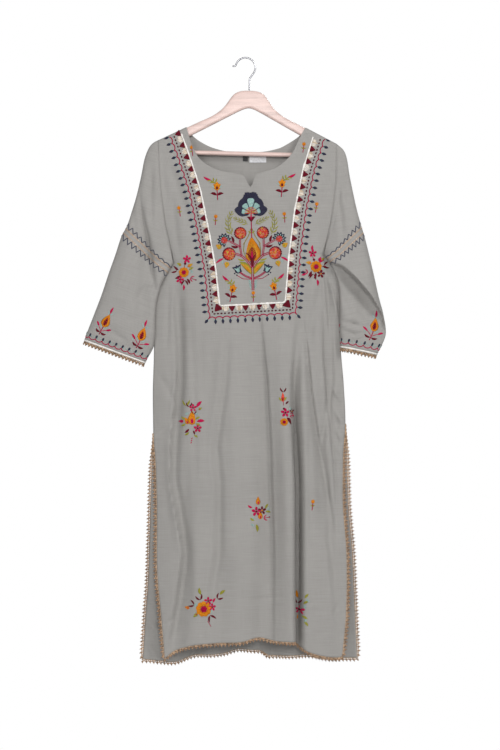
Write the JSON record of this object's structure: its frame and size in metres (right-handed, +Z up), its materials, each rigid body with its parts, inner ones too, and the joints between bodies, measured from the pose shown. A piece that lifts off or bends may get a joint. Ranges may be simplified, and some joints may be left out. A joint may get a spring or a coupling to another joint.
{
  "type": "kurta tunic on a coat hanger",
  "caption": "Long cotton tunic with an embroidered yoke, three-quarter sleeves and lace-edged side slits, hanging on a wooden coat hanger with a steel hook.",
  "frame": {"origin": "inside of the hook's crown, where a rail bears", "axes": "+Z up, +X to the right of someone who looks at the front, the front faces -Y"},
  "size_m": [0.6989, 0.0822, 1.4012],
  "materials": {
    "kurta_cloth": "matte slubby grey cotton, plain weave",
    "crochet_lace": "tan crochet edging",
    "sleeve_tape": "woven tape with pale metallic ribbons",
    "satin_ribbon": "pale satin ribbon",
    "label_white": "plain white woven label, blank",
    "label_dark": "plain dark woven label, blank",
    "hanger_wood": "smooth pale pinkish lacquered wood",
    "hook_steel": "polished"
  },
  "bodies": {
    "root": {"front_panel": "kurta_cloth", "back_panel": "kurta_cloth", "sleeve_left": "kurta_cloth", "sleeve_right": "kurta_cloth", "front_lace": "crochet_lace", "back_lace": "crochet_lace", "cuff_lace_left": "crochet_lace", "cuff_lace_right": "crochet_lace", "sleeve_tape_left": "sleeve_tape", "sleeve_tape_right": "sleeve_tape", "cuff_ribbon_left": "satin_ribbon", "cuff_ribbon_right": "satin_ribbon", "yoke_ribbon": "satin_ribbon", "label_white": "label_white", "label_dark": "label_dark", "hanger_wood": "hanger_wood", "hanger_bar": "hanger_wood", "hook": "hook_steel"}
  },
  "joints": []
}
